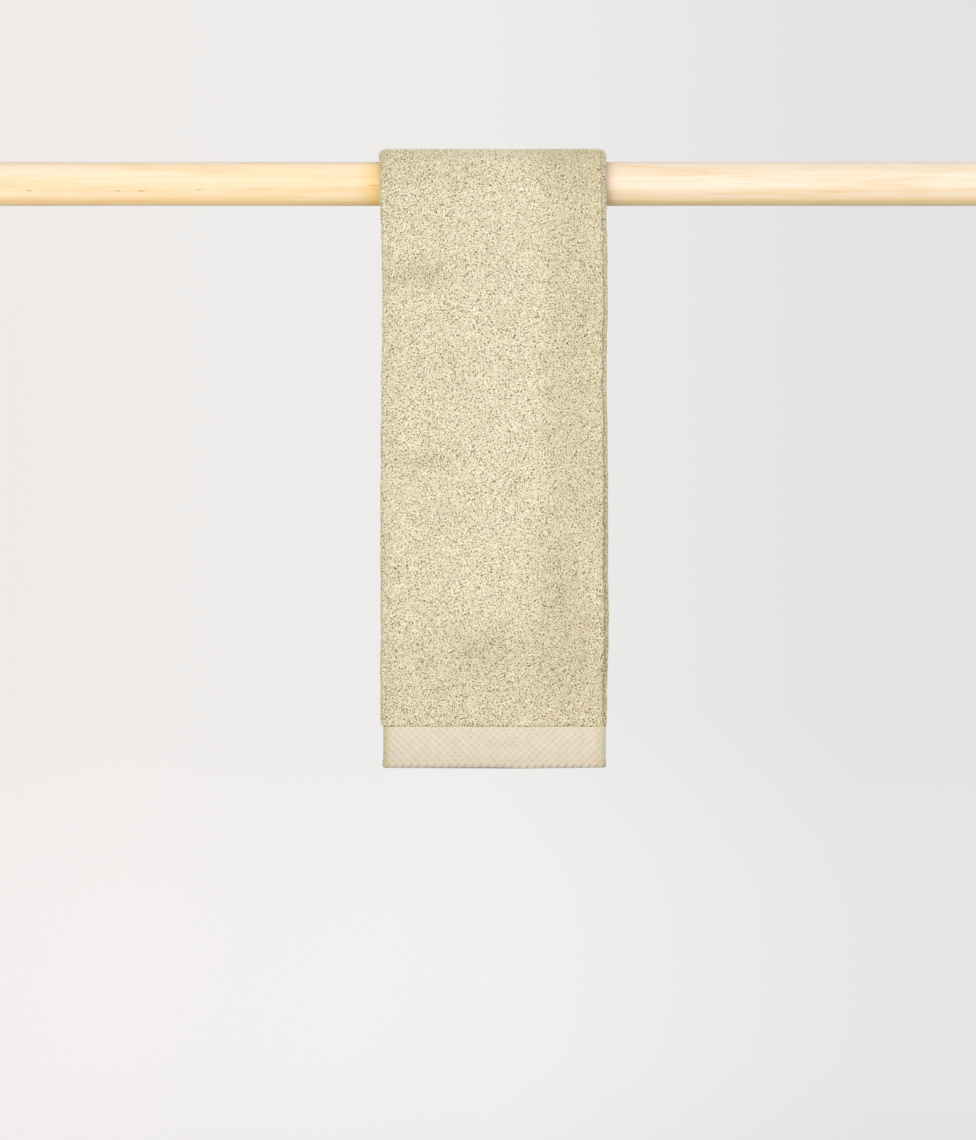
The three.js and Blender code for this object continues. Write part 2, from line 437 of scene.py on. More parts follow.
def crease_depth(x, drop):
    """How far the front's soft creases draw the cloth in"""
    depth = np.zeros_like(x + drop)
    for crease in CREASES:
        slant = math.radians(crease["slant"])
        dx = x / MM - crease["x"]
        dz = -drop / MM + crease["drop"]
        along = (dx * math.cos(slant) + dz * math.sin(slant)) / crease["length"]
        across = (dz * math.cos(slant) - dx * math.sin(slant)) / crease["width"]
        depth += crease["depth"] * MM * np.exp(-(along**2) - across**2)
    return depth


def patch_light_and_shade(x, drop):
    """How light the pile is painted by the front's patches of painted light and shade, from -1 to 1
    """
    light_and_shade = np.zeros_like(x + drop)
    for patch in LIGHT_AND_SHADE_PATCHES:
        across = (x / MM - patch["x"]) / patch["width"]
        down = (drop / MM - patch["drop"]) / patch["height"]
        far = np.sqrt(across**2 + down**2)
        light_and_shade += patch["shade"] / (1 + np.exp(TONE_SHARPNESS * (far - 1)))
    return np.clip(light_and_shade, -1, 1)


def sway(x, drop):
    """In and out, how far a hanging panel leaves the plane straight below the rod's side"""
    grown = smoothstep(drop, *WAVES_GROW)
    depth = -DRAWN_IN * drop / FRONT_DROP
    for wave in WAVES:
        down = np.sin(2 * np.pi * drop / (wave["height"] * MM) + wave["start"])
        sideways = np.cos(2 * np.pi * x / (wave["width"] * MM) + wave["start"])
        depth = depth + wave["depth"] * MM * grown * down * sideways
    return depth


def beside_edge(x, layer, free_edge, fall=BULGE_FALL):
    """How much of the bulge the fold has beside the free edge: none under it, less further out"""
    past = x - free_edge
    near = smoothstep(past, *BULGE_RISES) * (1 - fall * smoothstep(past, *BULGE_FALLS))
    return near * smoothstep(layer, 0, MIDDLE_FROM) * (layer < BULGE_UP_TO)


def hem_sag(x):
    """How much lower than straight the front hem hangs"""
    return sum(
        dip["depth"] * MM * np.exp(-(((x / MM - dip["x"]) / dip["width"]) ** 2))
        for dip in HEM_SAGS
    )


def placed(station, x, layer, out, free_edge):
    """The places in space of points of one cross-section"""
    drop = drop_at(station, layer)
    out = INNER_LAYER + layer * pitch_at(drop) + out
    if station["panel"] == "wrap":
        angle = station["angle"]
        on_top = math.sin(angle) ** 2
        bulge = FOLD_BULGE + (FOLD_BULGE_ON_TOP - FOLD_BULGE) * on_top
        fall = BULGE_FALL + (BULGE_FALL_ON_TOP - BULGE_FALL) * on_top
        radius = ROD_RADIUS + out + bulge * beside_edge(x, layer, free_edge, fall)
        inward = np.clip((x - x.min()) / LEFT_DROOP_WIDTH, 0, 1)
        radius = radius - LEFT_DROOP * on_top * (1 - inward) ** 2 * (layer > MIDDLE_FROM)
        y = -radius * math.cos(angle)
        x = x + CREST_SPREAD * math.sin(angle) ** 3 * x / np.abs(x).max()
        return np.column_stack([TOWEL_MIDDLE + x, y, radius * math.sin(angle)])
    reach = ROD_RADIUS + out + sway(x, drop) + FOLD_BULGE * beside_edge(x, layer, free_edge)
    if station["panel"] == "front":
        drop = drop + hem_sag(x) * smoothstep(drop, FRONT_DROP - HEM_SAG_HEIGHT, FRONT_DROP)
        return np.column_stack([TOWEL_MIDDLE + x, crease_depth(x, drop) - reach, -drop])
    return np.column_stack([TOWEL_MIDDLE + x, reach, -drop])


def outline(station):
    """One closed outline of the cloth's section: its face, the inner layer's round edge, its
    other face and the outer layer's round edge. Gives the places, and what the pile needs."""
    line = middle_line(station)
    half, face_x, face_out = line["half"], line["face_x"], line["face_out"]
    terry = "height" not in station or station["height"] > BORDER_HEIGHT
    leftmost = line["left_fold"] - line["bend"] - half
    # Painted shade of the border where the cloth turns away round the left fold, fading over a band
    left_fold_shade = 1 - smoothstep(line["x"], leftmost, leftmost + LEFT_BAND)
    fold_pile = np.where(line["x"] < 0, LEFT_FOLD_PILE, RIGHT_FOLD_PILE)
    sunk = PILE_HEIGHT + (fold_pile - PILE_HEIGHT) * np.abs(face_x)
    sunk = np.minimum(sunk, half * PILE_SHARE)
    face_pile, reverse_pile = (pile * terry for pile in pile_on_faces(line))

    # How far the two faces and the round edges stand off the middle line
    face = half - sunk * face_pile
    reverse = sunk * reverse_pile - half
    radius = half - min(LEFT_FOLD_PILE, half * PILE_SHARE) * terry
    turn = np.pi * np.arange(1, EDGE_STEPS) / EDGE_STEPS
    edge_x, edge_out = radius * np.sin(turn), radius * np.cos(turn)
    steps = np.hypot(np.diff(line["x"]), np.diff(line["layer"]) * line["bend"] * 2)
    across = np.concatenate([[0], np.cumsum(steps)])

    def all_round(on_face, inner_edge, on_reverse, outer_edge):
        """Values at the outline's points from those of its four parts"""
        return np.concatenate([on_face, inner_edge, on_reverse[::-1], outer_edge])

    order = np.arange(LINE_POINTS)
    even = np.ones(EDGE_STEPS - 1, int)
    points = all_round(order, even * order[-1], order, even * 0)
    x = line["x"][points] + all_round(face * face_x, -edge_x, reverse * face_x, edge_x)
    out = all_round(face * face_out, edge_out, reverse * face_out, -edge_out)
    layer = line["layer"][points]
    from_edge = line["outer_edge"] - x
    drop = drop_at(station, layer) * np.ones(len(x))
    # Painted light and shade: the front's soft patches, then painted shade along the free edge, on
    # the fold beside it and above the border
    light_and_shade = patch_light_and_shade(x, drop)
    if station["panel"] == "wrap":
        light_and_shade *= smoothstep(math.pi / 2 - station["angle"], -TONES_FADE, TONES_FADE)
    if station["panel"] == "back":
        light_and_shade *= 0
    low = smoothstep(drop, *SHADED_DROPS)
    edge_shade = EDGE_SHADE * low * (1 - smoothstep(from_edge, *SHADED_EDGE))
    strip_shade = STRIP_SHADE_ABOVE + (STRIP_SHADE - STRIP_SHADE_ABOVE) * low
    # Painted shade along the free edge, and on the fold beside it in the outer layer's shadow
    light_and_shade -= np.where(layer < OUTER_FROM, strip_shade, edge_shade)
    if "height" in station:
        # Painted shadow above the border, under the pile's lowest loops
        light_and_shade -= JOINT_SHADE * (1 - smoothstep(station["height"], *SHADED_JOINT))
    return {
        "x": x,
        "layer": layer,
        "out": out,
        "pile": all_round(face_pile, even * terry, reverse_pile, even * terry),
        "across": across[points],
        "left_fold_shade": all_round(left_fold_shade, even * 0, left_fold_shade, even * 0),
        "light_and_shade": light_and_shade,
        "from_edge": from_edge,
        "on_outer": (layer > OUTER_FROM).astype(float),
        "length": length_at(station, layer),
        "place": placed(station, x, layer, out, line["outer_edge"]),
    }


def cloth_grid():
    """The outlines of all stations, as arrays with a row for each station"""
    stations = list_stations()
    rings = [outline(station) for station in stations]
    grid = {key: np.array([ring[key] for ring in rings]) for key in rings[0]}
    grid["stations"] = stations
    return grid


def new_object(name, data):
    """An object for a mesh, a light or a camera, at the origin"""
    made = bpy.data.objects.new(name, data)
    bpy.context.scene.collection.objects.link(made)
    return made


def shade_smooth(mesh):
    mesh.polygons.foreach_set("use_smooth", np.ones(len(mesh.polygons), bool))


def store_values(mesh, name, values, kind="FLOAT", key="value"):
    """Values at a mesh's points, kept as an attribute"""
    layer = mesh.attributes.new(name, kind, "POINT")
    layer.data.foreach_set(key, values.astype(np.float32).ravel())


def cloth_mesh(grid):
    """The closed skin of the whole cloth, with its UV map in metres across and along the cloth"""
    rows, count = grid["x"].shape
    vertices = grid["place"].reshape(-1, 3)
    here = np.arange(rows * count).reshape(rows, count)
    following = np.roll(here, -1, axis=1)
    quads = np.stack([here[:-1], here[1:], following[1:], following[:-1]], axis=-1).reshape(-1, 4)
    faces = [tuple(quad) for quad in quads.tolist()]
    for row, order in ((0, (0, 1, 2)), (rows - 1, (0, 2, 1))):
        ring = [Vector((x, layer * PITCH_BELOW + out, 0)) for x, layer, out in zip(
            grid["x"][row], grid["layer"][row], grid["out"][row]
        )]
        for triangle in tessellate_polygon([ring]):
            faces.append(tuple(int(here[row, triangle[i]]) for i in order))
    mesh = bpy.data.meshes.new("towel_cloth")
    mesh.from_pydata(vertices.tolist(), [], faces)
    uv = mesh.uv_layers.new(name="cloth")
    flat = np.column_stack([grid["across"].ravel(), grid["length"].ravel()])
    corner_vertex = np.zeros(len(mesh.loops), int)
    mesh.loops.foreach_get("vertex_index", corner_vertex)
    uv.data.foreach_set("uv", flat[corner_vertex].ravel())
    # Kept for the materials: the pile's painted light and shade, and the painted shade of the
    # border's left fold
    for name in ("light_and_shade", "left_fold_shade"):
        store_values(mesh, name, grid[name])
    return mesh


def plug(value, socket):
    """Links an output to a socket, or sets what is even all over on the socket itself"""
    if isinstance(value, Output):
        value.tree.links.new(value.socket, socket)
    else:
        socket.default_value = value


def calculate(operation, *values):
    """The output of a Math node"""
    return Node("ShaderNodeMath", *values, operation=operation)[0]


class Output:
    """An output of a node, which can be reckoned with like a plain number"""

    def __init__(self, tree, socket):
        self.tree = tree
        self.socket = socket

    def __add__(self, other):
        return calculate("ADD", self, other)

    def __sub__(self, other):
        return calculate("SUBTRACT", self, other)

    def __rsub__(self, other):
        return calculate("SUBTRACT", other, self)

    def __mul__(self, other):
        return calculate("MULTIPLY", self, other)

    def __truediv__(self, other):
        return calculate("DIVIDE", self, other)


class Node:
    """A node in the tree of the outputs that it takes. Values go into its inputs in order. Names
    with a capital are inputs too, with an underscore for a space, and the others are settings."""

    def __init__(self, kind, *values, tree=None, **named):
        taken = [value for value in (*values, *named.values()) if isinstance(value, Output)]
        self.tree = tree or taken[0].tree
        self.node = self.tree.nodes.new(kind)
        for name, value in named.items():
            if name[0].islower():
                setattr(self.node, name, value)
        for i, value in enumerate(values):
            plug(value, self.node.inputs[i])
        for name, value in named.items():
            if name[0].isupper():
                plug(value, self.node.inputs[name.replace("_", " ")])

    def __getitem__(self, key):
        return Output(self.tree, self.node.outputs[key])


# The shape of a loop, as shares of its rise: how deep its feet stand in the ground, and how high
# the point lies that draws its arch up. The arch itself gets half as high as both together.
LOOP_FOOT = -0.7
LOOP_PULL = 1.9
LOOP_CROWN = (LOOP_FOOT + LOOP_PULL) / 2
LOOP_STEPS = 3
LOOP_SIDES = 3
WELD = 0.02 * MM
QUARTER_TURN = math.pi / 2

# The pile: how far its loops bow sideways, as shares of their length, and the least and greatest
# of their random sizes. Points are tried this densely, and then kept a spacing apart. At an edge
# up to this share of each loop's turn is taken away.
LOOP_BOWS = (-0.34, -0.12, 0.16, 0.38)
SMALLEST_LOOP = (0.7, 0.82, 0.7)
LARGEST_LOOP = (1.15, 1.12, 1.25)
POINTS_TRIED = 3.0
EDGE_ORDER = 0.9


def loop_shape(group, bow):
    """One loop of yarn, an arch that bows sideways, from foot to foot along X"""
    tree = group.tree
    length, width, rise = group["Loop Length"], group["Loop Width"], group["Loop Rise"]
    foot = rise * LOOP_FOOT
    path = Node(
        "GeometryNodeCurveQuadraticBezier", Resolution=LOOP_STEPS,
        Start=Node("ShaderNodeCombineXYZ", length * -0.5, 0.0, foot)[0],
        Middle=Node("ShaderNodeCombineXYZ", 0.0, length * bow, rise * LOOP_PULL)[0],
        End=Node("ShaderNodeCombineXYZ", length * 0.5, 0.0, foot)[0],
    )
    factor = Node("GeometryNodeSplineParameter", tree=tree)["Factor"]
    thick = calculate("POWER", factor * (1.0 - factor) * 4.0, 0.5)
    ring = Node("GeometryNodeCurvePrimitiveCircle", LOOP_SIDES, tree=tree, Radius=1.0, mode="RADIUS")
    level = Node("GeometryNodeSetCurveNormal", Curve=path["Curve"], mode="Z_UP")
    flat_up = Node(
        "GeometryNodeTransform", Geometry=ring["Curve"], Rotation=(0.0, 0.0, QUARTER_TURN),
    )
    tube = Node(
        "GeometryNodeCurveToMesh", Curve=level["Curve"], Profile_Curve=flat_up["Geometry"],
        Scale=thick * (width * 0.5),
    )
    merged = Node("GeometryNodeMergeByDistance", Geometry=tube["Mesh"], Distance=WELD)
    height = Node("ShaderNodeSeparateXYZ", Node("GeometryNodeInputPosition", tree=tree)[0])["Z"]
    share = height / (rise * LOOP_CROWN + width * 0.5)
    stored = store_in_tree(merged["Geometry"], "loop_height", share, "POINT")
    smooth = Node("GeometryNodeSetShadeSmooth", Geometry=stored, Shade_Smooth=True)
    return Node("GeometryNodeGeometryToInstance", Geometry=smooth["Geometry"])["Instances"]


def store_in_tree(geometry, name, value, domain):
    """The geometry with one more attribute"""
    return Node(
        "GeometryNodeStoreNamedAttribute", data_type="FLOAT", domain=domain,
        Geometry=geometry, Name=name, Value=value,
    )["Geometry"]


def named_value(tree, name, kind="FLOAT"):
    """An attribute of the ground cloth"""
    return Node("GeometryNodeInputNamedAttribute", tree=tree, data_type=kind, Name=name)["Attribute"]


def random_between(tree, low, high, seed, kind="FLOAT"):
    """A random number or vector for each loop"""
    return Node(
        "FunctionNodeRandomValue", tree=tree, data_type=kind, Min=low, Max=high, Seed=seed,
    )["Value"]


def turned_about(rotation, axis, angle):
    """A rotation turned further about one of its own axes"""
    by = Node("ShaderNodeCombineXYZ", **{axis: angle})[0]
    return Node(
        "FunctionNodeRotateRotation", rotation_space="LOCAL", Rotation=rotation, Rotate_By=by,
    )[0]


def pile_tree():
    """The tree that stands loops of yarn on a patch of ground cloth"""
    tree = bpy.data.node_groups.new("pile of loops", "GeometryNodeTree")
    kinds = {"Geometry": "Geometry", "Seed": "Int", "Yarn": "Material"}
    for name in (
        "Geometry", "Spacing", "Loop Length", "Loop Width", "Loop Rise", "Lean", "Hem Groove",
        "Seed", "Yarn",
    ):
        kind = "NodeSocket" + kinds.get(name, "Float")
        tree.interface.new_socket(name=name, in_out="INPUT", socket_type=kind)
    tree.interface.new_socket(name="Geometry", in_out="OUTPUT", socket_type="NodeSocketGeometry")
    group = Node("NodeGroupInput", tree=tree)

    spacing = group["Spacing"]
    points = Node(
        "GeometryNodeDistributePointsOnFaces", distribute_method="POISSON",
        Mesh=group["Geometry"], Distance_Min=spacing,
        Density_Max=calculate("DIVIDE", POINTS_TRIED, spacing * spacing), Seed=group["Seed"],
    )
    in_groove = Node(
        "FunctionNodeCompare", data_type="FLOAT", operation="LESS_THAN",
        A=named_value(tree, "groove"), B=group["Hem Groove"],
    )
    sewn = Node(
        "GeometryNodeDeleteGeometry", domain="POINT",
        Geometry=points["Points"], Selection=in_groove["Result"],
    )

    # Each loop stands up from the cloth and turns any way, but along the cloth at an edge
    upright = Node(
        "FunctionNodeAxesToRotation", primary_axis="Z", secondary_axis="X",
        Primary_Axis=points["Normal"],
        Secondary_Axis=named_value(tree, "lengthwise", "FLOAT_VECTOR"),
    )[0]
    swing = 1.0 - named_value(tree, "edge") * EDGE_ORDER
    spin = random_between(tree, -QUARTER_TURN, QUARTER_TURN, 11)
    lean = group["Lean"]
    tip = random_between(tree, lean * -1.0, lean, 12)
    turned = turned_about(upright, "Z", spin * swing)
    tipped = turned_about(turned, "X", tip)
    size = random_between(tree, SMALLEST_LOOP, LARGEST_LOOP, 13, "FLOAT_VECTOR")
    shapes = Node("GeometryNodeJoinGeometry", tree=tree)
    for bow in LOOP_BOWS:
        plug(loop_shape(group, bow), shapes.node.inputs["Geometry"])
    loops = Node(
        "GeometryNodeInstanceOnPoints", Points=sewn["Geometry"],
        Instance=shapes["Geometry"], Pick_Instance=True, Rotation=tipped, Scale=size,
    )
    tint = random_between(tree, 0.0, 1.0, 14)
    dyed = store_in_tree(loops["Instances"], "loop_tint", tint, "INSTANCE")
    real = Node("GeometryNodeRealizeInstances", Geometry=dyed)["Geometry"]
    spun = Node("GeometryNodeSetMaterial", Geometry=real, Material=group["Yarn"])
    Node("NodeGroupOutput", Geometry=spun["Geometry"])
    return tree


def new_material(name, **values):
    """A material and its tree, with what is even all over set on its shader"""
    material = bpy.data.materials.new(name)
    material.use_nodes = True
    shader = material.node_tree.nodes["Principled BSDF"]
    for key, value in values.items():
        shader.inputs[key.replace("_", " ")].default_value = value
    return material, material.node_tree


def dressed(material, colour, height=None, strength=0.0, depth=0.0):
    """The material with its shader's colour and, from a height, its bump"""
    inputs = material.node_tree.nodes["Principled BSDF"].inputs
    plug(colour, inputs["Base Color"])
    if height is not None:
        bump = Node("ShaderNodeBump", Strength=strength, Distance=depth, Height=height)
        plug(bump["Normal"], inputs["Normal"])
    return material


def attribute(tree, name):
    return Node("ShaderNodeAttribute", tree=tree, attribute_name=name)["Fac"]


def object_place(tree):
    return Node("ShaderNodeTexCoord", tree=tree)["Object"]


def mapped(vector, **changes):
    """A vector moved, turned or scaled"""
    return Node("ShaderNodeMapping", Vector=vector, **changes)[0]


def noise(vector, scale, detail=2.0, roughness=0.5):
    """The value of a noise on a vector"""
    return Node(
        "ShaderNodeTexNoise", Vector=vector, Scale=scale, Detail=detail, Roughness=roughness,
    )[0]


def ranged(value, low, high):
    """0 at low and 1 at high"""
    return Node("ShaderNodeMapRange", Value=value, From_Min=low, From_Max=high)[0]


def from_srgb(*colour):
    """A linear colour from its 0 to 255 screen values, none of which is near black"""
    return tuple(((value / 255 + 0.055) / 1.055) ** 2.4 for value in colour)


def ramp(value, *stops):
    """A colour from a value. Each stop is a place and the three parts of a linear colour."""
    made = Node("ShaderNodeValToRGB", Fac=value)
    elements = made.node.color_ramp.elements
    while len(elements) < len(stops):
        elements.new(0.5)
    for element, (position, *colour) in zip(elements, stops):
        element.position = position
        element.color = (*colour, 1)
    return made["Color"]


def screen_ramp(value, *stops):
    """A ramp whose colours are given by their 0 to 255 screen values"""
    return ramp(value, *((position, *from_srgb(*colour)) for position, *colour in stops))


def mix_colour(share, first, second, blend="MIX"):
    """Two colours, mixed by a share. A plain one is a linear colour without its alpha."""
    first, second = ((*c, 1) if isinstance(c, tuple) else c for c in (first, second))
    return Node(
        "ShaderNodeMix", data_type="RGBA", blend_type=blend, Factor=share, A=first, B=second,
    )["Result"]


def tinted(colour, *tints):
    """A colour multiplied by tints, one after the other"""
    for tint in tints:
        colour = mix_colour(1.0, colour, tint, "MULTIPLY")
    return colour


def light_and_shade_colour(tree):
    """A darker and warmer tint for the pile's painted shade, and a slightly lighter one for its
    painted light
    """
    share = ranged(attribute(tree, "light_and_shade"), -1.0, 1.0)
    return ramp(share, (0.0, 0.81, 0.765, 0.65), (0.5, 0.985, 0.962, 0.93), (1.0, 1, 0.997, 1))


def cloth_places(tree):
    """The cloth's own UV map, how far a place is from the free edge, and above the nearer hem"""
    uv = Node("ShaderNodeUVMap", tree=tree, uv_map="cloth")["UV"]
    split = Node("ShaderNodeSeparateXYZ", uv)
    along = split["Y"]
    return uv, split["X"], calculate("MINIMUM", along, TOWEL_LENGTH - along)


ASKEW = (0.7, 0.5, 0.4)


def askew_place(tree):
    """Object coordinates turned askew, because a noise is weaker where the cloth lies along it"""
    return mapped(object_place(tree), Rotation=ASKEW)


def yarn_material():
    """Cotton loops: each a little lighter or darker than the next, with painted shade at its foot"""
    material, tree = new_material(
        "cotton loops", Roughness=0.9, Sheen_Weight=0.25, Sheen_Roughness=0.5,
    )
    place = askew_place(tree)
    top = screen_ramp(
        attribute(tree, "loop_tint"),
        (0.0, 235, 225, 194), (0.5, 255, 250, 227), (1.0, 255, 255, 245),
    )
    # Painted shade: each loop darkens towards its foot, down in the pile
    risen = ranged(attribute(tree, "loop_height"), -0.1, 0.5)
    yarn = mix_colour(risen, from_srgb(203, 184, 128), top)
    patchy = ramp(noise(place, 22, 3), (0.3, 0.96, 0.96, 0.95), (0.7, 1, 1, 1))
    fleck = ramp(noise(place, 900), (0.38, 0.84, 0.81, 0.7), (0.52, 1, 1, 1))
    yarn = tinted(yarn, patchy, fleck, light_and_shade_colour(tree))
    return dressed(material, yarn, noise(place, 2600), 0.35, 0.2 * MM)


# Where the groove of the side hem lies on the cloth, across from the middle of its free edge
GROOVE_ACROSS = SIDE_HEM - TERRY_THICKNESS / 2


def ground_material():
    """The terry where no loops are sewn on: the ground between them, with painted shade in its pits,
    and the hidden layers
    """
    material, tree = new_material(
        "cotton ground", Roughness=0.95, Sheen_Weight=0.2, Sheen_Roughness=0.5,
    )
    place = askew_place(tree)
    _, across, height = cloth_places(tree)
    # Painted shade: dark pits in the ground stand in for the shade between the loops; the same noise
    # is its bump
    pit_bump_and_shade = noise(place, 700, 1.5, 0.6)
    colour = screen_ramp(
        pit_bump_and_shade, (0.395, 92, 70, 22), (0.475, 220, 205, 167), (0.58, 255, 250, 227),
    )

    # The pile ends unevenly above the border, where painted shadow lies under its lowest loops, and a
    # groove runs beside the hemmed free edge
    ragged = height + noise(place, 150) * (2.4 * MM)
    joint_shadow = ramp(
        ranged(ragged, 48 * MM, 52 * MM),
        (0.0, 0.64, 0.61, 0.56), (0.4, 0.85, 0.83, 0.8), (1.0, 1, 1, 1),
    )
    colour = tinted(colour, light_and_shade_colour(tree), joint_shadow)
    from_groove = calculate("ABSOLUTE", across - GROOVE_ACROSS)
    groove = ranged(from_groove, SIDE_HEM_GROOVE, 0.3 * SIDE_HEM_GROOVE)
    groove = groove * ranged(noise(place, 55), 0.48, 0.66)
    colour = mix_colour(groove, colour, from_srgb(205, 188, 142))
    return dressed(material, colour, pit_bump_and_shade, 0.8, 0.8 * MM)


# The border's weave, a half-drop of small lenses between faint diagonals: one repeat across and
# up, and one weft thread. The diagonals change over this far across, the fainter ones to a share.
BORDER_REPEAT_ACROSS = 8.88 * MM
BORDER_REPEAT_UP = 8.6 * MM
WEFT_REPEAT = 0.9 * MM
DIAGONALS_CHANGE = (60 * MM, 200 * MM)
FAINTER = 0.4

# Painted shadow dots between the small scallops of the end hem's lower edge: between which heights
# they fade in, and how dark they are
SCALLOP_SHADOW_HEIGHTS = (4.4 * MM, 2.6 * MM)
SCALLOP_SHADOW_SHADE = 0.55


def border_material():
    """The flat-woven border, with its small half-drop repeat, a plain end hem, and painted shade at
    its sides and along the hem's lower edge
    """
    material, tree = new_material(
        "woven border", Roughness=0.75, Sheen_Weight=0.3, Sheen_Roughness=0.4,
    )
    uv, across, height = cloth_places(tree)

    def turns(value, repeat):
        return value * (2 * math.pi / repeat)

    def cosine(value):
        return calculate("COSINE", value)

    repeats = turns(across, BORDER_REPEAT_ACROSS)
    sideways = repeats + noise(uv, 60) * 2.4
    upwards = turns(height, BORDER_REPEAT_UP)

    # The diagonals that fall to the right show more at the left, the others at the right
    leftwards = ranged(across, *DIAGONALS_CHANGE)
    rising = cosine(sideways + upwards) * (leftwards * (FAINTER - 1) + 1.0)
    falling = cosine(sideways - upwards) * (leftwards * (1 - FAINTER) + FAINTER)
    lens = calculate("MAXIMUM", rising, falling)
    relief = lens * 0.24 + 0.02 + noise(uv, 90) * 0.5 + noise(uv, 480) * 0.65
    weave = screen_ramp(
        relief, (0.36, 199, 189, 165), (0.67, 213, 203, 181), (0.93, 221, 211, 191),
    )
    up_the_border = ramp(
        ranged(height, 0, BORDER_HEIGHT),
        (0.0, 0.71, 0.71, 0.72), (0.05, 0.82, 0.81, 0.8), (0.09, 0.895, 0.87, 0.845),
        (0.12, 0.905, 0.865, 0.83), (0.165, 0.905, 0.865, 0.83), (0.185, 0.85, 0.84, 0.81),
        (0.2, 0.9, 0.895, 0.885), (0.255, 0.9, 0.895, 0.93), (0.55, 0.935, 0.935, 0.96),
        (0.85, 0.96, 0.96, 0.96), (0.94, 0.96, 0.96, 0.96), (0.97, 1, 1, 1),
    )
    colour = tinted(weave, up_the_border)

    # A painted shadow dot at each repeat along the hem's lower edge, where its small scallops meet
    scallop_shadows = ranged(cosine(repeats), 0.1, 0.9)
    scallop_shadows = scallop_shadows * ranged(height, *SCALLOP_SHADOW_HEIGHTS) * SCALLOP_SHADOW_SHADE
    colour = mix_colour(scallop_shadows, colour, from_srgb(150, 140, 122))

    # Painted shade darkens the sides: the left one where the cloth turns away round its fold, the
    # right one partly in its side hem's own colour and partly where its rounded edge turns away
    left_side = ramp(
        attribute(tree, "left_fold_shade"),
        (0.0, 1, 1, 0.98), (0.06, 0.97, 0.965, 0.92), (0.16, 0.945, 0.935, 0.89),
        (0.3, 0.935, 0.9, 0.875), (0.45, 0.905, 0.855, 0.82), (0.6, 0.857, 0.816, 0.72),
        (0.75, 0.805, 0.782, 0.6), (0.88, 0.785, 0.755, 0.6), (1.0, 0.76, 0.73, 0.63),
    )
    right_side = ramp(
        ranged(across, -1 * MM, 14 * MM),
        (0.0, 0.74, 0.755, 0.66), (0.16, 0.765, 0.78, 0.68), (0.29, 0.83, 0.83, 0.735),
        (0.375, 0.893, 0.873, 0.783), (0.46, 0.935, 0.903, 0.842), (0.65, 0.957, 0.93, 0.873),
        (1.0, 1, 1, 1),
    )
    colour = tinted(colour, left_side, right_side)
    weft = cosine(turns(height, WEFT_REPEAT)) * 0.08
    return dressed(material, colour, relief + weft, 0.5, 0.4 * MM)


# Short marks in the pine's front, in millimetres: the middle of each, along from the rod's left end
# and above its axis, half its length and height, and how dark it is
PINE_MARKS = table(
    "along up length height shade",
    (66, -10.5, 5, 1.3, 0.5),
    (92, -12, 18, 0.9, 0.12),
    (168, -10.5, 5, 1.3, 0.5),
    (195, -10.5, 6, 1.3, 0.55),
    (261, -9.6, 5, 1.3, 0.4),
    (328, -9, 26, 1.2, 0.22),
    (462, -4.6, 9, 1.1, 0.6),
    (300, -11.5, 14, 0.9, 0.14),
    (122, -2.4, 10, 0.8, 0.12),
    (812, 13.2, 16, 1.1, 0.2),
    (843, 10.6, 7, 1.1, 0.26),
    (862, -14.4, 24, 1.0, 0.24),
    (880, -2.2, 26, 1.1, 0.13),
    (970, 12.4, 6, 1.0, 0.14),
    (1044, 12.4, 6, 1.0, 0.14),
)

# The growth rings of the pine, as the sawn ends show them: how far the rod's axis lies from their
# middle, how far apart and how wavy they are, and how close to the end faces they show, as shares
# of the rod's length
AXIS_FROM_PITH = (0, 9 * MM, 31 * MM)
RING_WIDTH = 4 * MM
RING_WAVES = 5 * MM
SAWN_SHARES = (0.0006, 0.0002)


